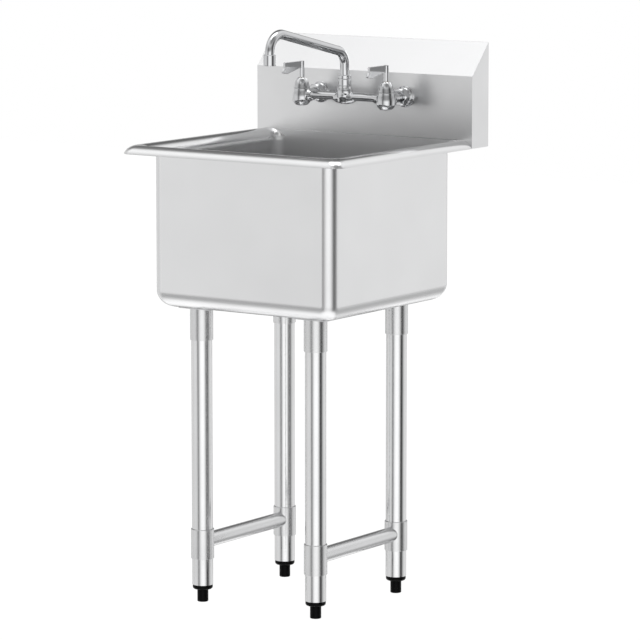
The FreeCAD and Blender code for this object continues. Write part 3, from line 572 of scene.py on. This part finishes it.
def addRing(name, sideInset, frontInset, rearY, z, frontRadius, rearRadius, outer):
    width = outer["width"] - 2 * sideInset
    front = outer["front"] + frontInset
    length = rearY - front
    deselectAll()
    bpy.ops.mesh.primitive_plane_add(size=1, location=(0, front + length / 2, z))
    ring = bpy.context.active_object
    ring.name = name
    ring.scale = (width, length, 1)
    bpy.ops.object.transform_apply(location=True, rotation=True, scale=True)
    startEdit(ring)
    steps = bowlValues["cornerSteps"]
    pick(ring, "VERT", lambda v: v.co.y < front + length / 2)
    bpy.ops.mesh.bevel(offset=frontRadius, offset_pct=0, segments=steps, affect="VERTICES")
    pick(ring, "VERT", lambda v: v.co.y > rearY - 1e-6)
    bpy.ops.mesh.bevel(offset=rearRadius, offset_pct=0, segments=steps, affect="VERTICES")
    bpy.ops.mesh.select_all(action="SELECT")
    bpy.ops.mesh.delete(type="ONLY_FACE")
    bpy.ops.object.mode_set(mode="OBJECT")
    group = ring.vertex_groups.new(name=name)
    group.add(list(range(len(ring.data.vertices))), 1.0, "REPLACE")
    return ring


def bowlRings(outer):
    values = bowlValues
    steps = values["arcSteps"]
    crest = outer["crest"]
    floor = crest - values["depth"] * mm
    rear = outer["rear"]
    side = outer["width"] / 2 - (values["crestInset"] + values["inside"] / 2) * mm
    front = rear - values["inside"] * mm - outer["front"] - values["crestInset"] * mm
    sizes = {key: value * mm for key, value in values.items()}
    rings = []
    for step in range(steps + 1):                       # floor's rounding, from the floor up
        turn = math.radians(90 * (1 - step / steps))
        inset = sizes["floorEdge"] * (1 - math.cos(turn))
        corner = sizes["floorCorner"] + (sizes["wallCorner"] - sizes["floorCorner"]) * math.cos(turn)
        rings.append((sizes["crestInset"] + side + inset, sizes["crestInset"] + front + inset,
                      rear - inset, floor + sizes["floorEdge"] * (1 - math.sin(turn)), corner, corner))
    for step in range(steps + 1):                       # over the inner side of the roll
        turn = math.radians(90 * step / steps)
        reach = math.cos(turn)
        inset = sizes["crestInset"] + sizes["crestFlat"] / 2 * math.sin(turn)
        rings.append((inset + side * reach, inset + front * reach, rear,
                      crest - sizes["innerRoll"] * (1 - math.sin(turn)),
                      sizes["crestCorner"] + (sizes["wallCorner"] - sizes["crestCorner"]) * reach,
                      sizes["crestRear"] + (sizes["wallCorner"] - sizes["crestRear"]) * reach))
    radius = (sizes["crestInset"] ** 2 + sizes["crestRise"] ** 2) / (2 * sizes["crestRise"])
    widest = math.acos((radius - sizes["crestRise"]) / radius)
    for step in range(steps + 1):                       # down the outer side
        turn = widest * step / steps
        inset = sizes["crestInset"] - radius * math.sin(turn) - sizes["crestFlat"] / 2 * (1 - math.sin(turn))
        corner = sizes["crestCorner"] + ((sizes["rimCorner"] - sizes["crestCorner"])
                                         * math.sin(turn) / math.sin(widest))
        rings.append((inset, inset, rear, crest - radius * (1 - math.cos(turn)), corner,
                      sizes["rearSquare"]))
    return rings


def makeBowl():
    values = bowlValues
    low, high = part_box("bowl")
    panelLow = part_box("backsplash_panel")[0]
    outer = {"width": high.x - low.x, "front": low.y, "rear": panelLow.y, "crest": high.z}
    rings = []
    for index, (side, front, rear, z, frontRadius, rearRadius) in enumerate(bowlRings(outer)):
        rings.append(addRing("ring%02d" % index, side, front, rear, z, frontRadius, rearRadius, outer))
    count = len(rings)
    bowl = joinPieces(rings, "bowl_skin")
    startEdit(bowl, "EDGE")
    for index in range(count - 1):
        bpy.ops.mesh.select_all(action="DESELECT")
        for name in ("ring%02d" % index, "ring%02d" % (index + 1)):
            bpy.ops.object.vertex_group_set_active(group=name)
            bpy.ops.object.vertex_group_select()
        bpy.ops.mesh.bridge_edge_loops()
    bpy.ops.mesh.select_all(action="DESELECT")
    bpy.ops.object.vertex_group_set_active(group="ring00")
    bpy.ops.object.vertex_group_select()
    bpy.ops.mesh.edge_face_add()
    bpy.ops.mesh.select_all(action="SELECT")
    bpy.ops.mesh.remove_doubles(threshold=1e-6)
    bpy.ops.mesh.select_all(action="SELECT")
    bpy.ops.mesh.bisect(plane_co=(0, 0, panelLow.z), plane_no=(0, 0, 1))
    pick(bowl, "FACE", lambda f: abs(faceMiddle(f).y - outer["rear"]) < 1e-5
         and abs(f.normal.y) > 0.99 and faceMiddle(f).z > panelLow.z)
    bpy.ops.mesh.delete(type="FACE")
    bpy.ops.mesh.select_all(action="SELECT")
    bpy.ops.mesh.normals_make_consistent(inside=False)
    bpy.ops.object.mode_set(mode="OBJECT")
    bowl.vertex_groups.clear()
    applyModifier(bowl, "SOLIDIFY", thickness=values["sheet"] * mm, offset=-1, use_even_offset=True)
    middle = (outer["rear"] - values["inside"] * mm / 2)
    deselectAll()
    bpy.ops.mesh.primitive_cylinder_add(vertices=96, radius=values["drainRadius"] * mm, depth=0.02,
                                        location=(0, middle, outer["crest"] - values["depth"] * mm))
    cutWith(bowl, bpy.context.active_object)
    smoothed(bowl)
    print("bowl made:", len(bowl.data.polygons), "faces")
    return placed(bowl, "root", "bowl_steel", "bowl")


# ---- turned pieces: a ring drawn along an outline of radius and height, in millimetres ----

def turnedRing(name, outline, place, rounding=0.0, sides=64):
    deselectAll()
    radius, height = outline[0]
    bpy.ops.mesh.primitive_circle_add(vertices=sides, radius=radius * mm,
                                      location=(place[0], place[1], place[2] + height * mm))
    piece = bpy.context.active_object
    piece.name = name
    bpy.ops.object.transform_apply(location=True, rotation=True, scale=True)
    startEdit(piece, "EDGE")
    bpy.ops.mesh.select_all(action="SELECT")
    for nextRadius, nextHeight in outline[1:] + outline[:1]:
        bpy.ops.mesh.extrude_edges_move(
            TRANSFORM_OT_translate={"value": (0, 0, (nextHeight - height) * mm)})
        bpy.ops.transform.resize(value=(nextRadius / radius, nextRadius / radius, 1),
                                 center_override=(place[0], place[1], place[2] + nextHeight * mm))
        radius, height = nextRadius, nextHeight
    bpy.ops.mesh.select_all(action="SELECT")
    bpy.ops.mesh.remove_doubles(threshold=1e-6)
    bpy.ops.mesh.select_all(action="SELECT")
    bpy.ops.mesh.normals_make_consistent(inside=False)
    bpy.ops.object.mode_set(mode="OBJECT")
    if rounding:
        applyModifier(piece, "BEVEL", width=rounding * mm, segments=3, limit_method="ANGLE",
                      angle_limit=math.radians(40))
    return piece


def movedCopy(piece, name, shift):
    twin = piece.copy()
    twin.data = piece.data.copy()
    twin.name = name
    bpy.context.scene.collection.objects.link(twin)
    activate(twin)
    twin.location = shift
    bpy.ops.object.transform_apply(location=True, rotation=False, scale=False)
    return twin


def nodeMiddle(node):
    low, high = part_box(node)
    return (low + high) / 2


# sockets under the bowl and sleeves low on the legs: a groove round the tube at each end, and a screw hole
collarValues = {"outer": 22.85, "bore": 20.85, "groove": 21.8, "grooveDepth": 3.2, "rounding": 0.45,
                "screwHole": 3.2, "screwSpan": 14.0, "screwOut": 22.0}
collarKinds = {
    "leg_socket": {"name": "leg_collar", "slot": "sleeve_steel", "screwFromTop": 51.0},
    "crossbar_sleeve": {"name": "bar_collar", "slot": "sleeve_steel", "screwFromTop": 7.0},
}
legCorners = ("front_left", "front_right", "rear_left", "rear_right")


def makeCollars(kind):
    values = collarValues
    kindValues = collarKinds[kind]
    low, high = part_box(kind + "_" + legCorners[0])
    middle = (low + high) / 2
    length = (high.z - low.z) / mm
    depth = values["grooveDepth"]
    outline = [(values["outer"], 0), (values["outer"], length), (values["groove"], length),
               (values["groove"], length - depth), (values["bore"], length - depth),
               (values["bore"], depth), (values["groove"], depth), (values["groove"], 0)]
    first = turnedRing(kindValues["name"] + "_" + legCorners[0], outline, (middle.x, middle.y, low.z),
                       values["rounding"])
    deselectAll()
    bpy.ops.mesh.primitive_cylinder_add(
        vertices=32, radius=values["screwHole"] * mm, depth=values["screwSpan"] * mm,
        location=(middle.x, middle.y + values["screwOut"] * mm, high.z - kindValues["screwFromTop"] * mm),
        rotation=(math.pi / 2, 0, 0))
    cutWith(first, bpy.context.active_object)
    smoothed(first)
    for corner in legCorners:
        node = kind + "_" + corner
        piece = first if corner == legCorners[0] else movedCopy(
            first, kindValues["name"] + "_" + corner, nodeMiddle(node) - middle)
        placed(piece, "root", kindValues["slot"], node)
    print(kindValues["name"], "made for", len(legCorners), "legs")


# covers over the valves: narrow at the stem, swelling to the body below; radius and height
coverOutline = [(16.5, 1006.1), (16.0, 1009.0), (15.4, 1012.0), (14.6, 1015.0), (13.6, 1017.8),
                (12.3, 1020.4), (10.9, 1022.6), (9.5, 1024.4), (8.3, 1025.7), (7.4, 1026.4), (7.0, 1026.5),
                (5.9, 1026.5), (5.9, 1022.6), (7.3, 1020.8),
                (10.3, 1015.5), (13.3, 1010.3), (13.6, 1006.1)]


def makeCovers():
    for side in ("left", "right"):
        middle = nodeMiddle("bonnet_" + side)
        cover = turnedRing("cover_" + side, coverOutline, (middle.x, middle.y, 0), sides=96)
        smoothed(cover, 40)
        placed(cover, "root", "faucet_chrome", "bonnet_" + side)
    print("valve covers made")


# ---- castings: the joints between a casting's barrels are blended, not sharp ----

# the valve bodies swell below and draw in above and underneath: height, factor and reach of each
pearSteps = [(1004.5, 0.955, 17), (986.0, 1.035, 12), (972.5, 0.88, 8)]
pearReach = 21.0
# swellings where the arms leave the valves and the hub: the piece each stands by, its shift and half sizes
castingBlends = [
    {"by": "bonnet_left", "shift": (3, 13, -29), "half": (14, 20, 12)},
    {"by": "bonnet_right", "shift": (-1, 13, -29), "half": (14, 20, 12)},
    {"by": "bonnet_left", "shift": (18, 3, -25), "half": (19, 9, 10)},
    {"by": "bonnet_right", "shift": (-18, 3, -25), "half": (19, 9, 10)},
    {"by": "spout_nut", "shift": (0, 0, -35), "half": (31, 12, 13)},
    {"by": "spout_nut", "shift": (0, 0, -24), "half": (17, 15, 18)},
]


def addBlends():
    blends = []
    for values in castingBlends:
        middle = nodeMiddle(values["by"]) + Vector(values["shift"]) * mm
        deselectAll()
        bpy.ops.mesh.primitive_uv_sphere_add(segments=48, ring_count=24, radius=1, location=middle)
        blend = bpy.context.active_object
        blend.scale = [half * mm for half in values["half"]]
        bpy.ops.object.transform_apply(location=True, rotation=True, scale=True)
        blends.append(blend)
    return blends


castingValues = {
    "faucet_body": {"name": "faucet_casting", "body": "root", "voxel": 0.75, "passes": 9, "factor": 0.6},
    "handle_left": {"name": "lever_left", "body": "handle_left", "voxel": 0.35, "passes": 5, "factor": 0.5},
    "handle_right": {"name": "lever_right", "body": "handle_right", "voxel": 0.35, "passes": 5,
                     "factor": 0.5},
}


def shapePears(piece):
    startEdit(piece)
    for side in ("left", "right"):
        middle = nodeMiddle("bonnet_" + side)
        for height, factor, reach in pearSteps:
            pick(piece, "VERT", lambda v: abs(v.co.z - height * mm) < 1.5 * mm
                 and math.hypot(v.co.x - middle.x, v.co.y - middle.y) < pearReach * mm)
            bpy.ops.transform.resize(
                value=(factor, factor, 1), center_override=(middle.x, middle.y, height * mm),
                use_proportional_edit=True, proportional_edit_falloff="SMOOTH",
                proportional_size=reach * mm, use_proportional_connected=True)
    bpy.ops.object.mode_set(mode="OBJECT")


def makeCasting(node):
    values = castingValues[node]
    piece = nodes[node].copy()
    piece.data = nodes[node].data.copy()
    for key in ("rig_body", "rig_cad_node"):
        if key in piece:
            del piece[key]
    piece.name = values["name"]
    piece.parent = None
    bpy.context.scene.collection.objects.link(piece)
    startEdit(piece)
    bpy.ops.mesh.customdata_custom_splitnormals_clear()
    bpy.ops.mesh.select_all(action="SELECT")
    bpy.ops.mesh.remove_doubles(threshold=1e-6)
    bpy.ops.object.mode_set(mode="OBJECT")
    if node == "faucet_body":
        piece = joinPieces([piece] + addBlends(), values["name"])
    applyModifier(piece, "REMESH", mode="VOXEL", voxel_size=values["voxel"] * mm)
    applyModifier(piece, "SMOOTH", factor=values["factor"], iterations=values["passes"])
    if node == "faucet_body":
        shapePears(piece)
    activate(piece)
    bpy.ops.object.shade_smooth()
    print(values["name"], "made:", len(piece.data.polygons), "faces")
    return placed(piece, values["body"], "faucet_chrome", node)


makeCamera()
makeRoom()
makeFloor()
makeLamps()
materials = makeMaterials()
dressNodes()
print("studio and", len(materials), "finishes made")
makeBowl()
for collarKind in collarKinds:
    makeCollars(collarKind)
makeCovers()
for castNode in castingValues:
    makeCasting(castNode)
bpy.context.scene.view_settings.view_transform = "Standard"
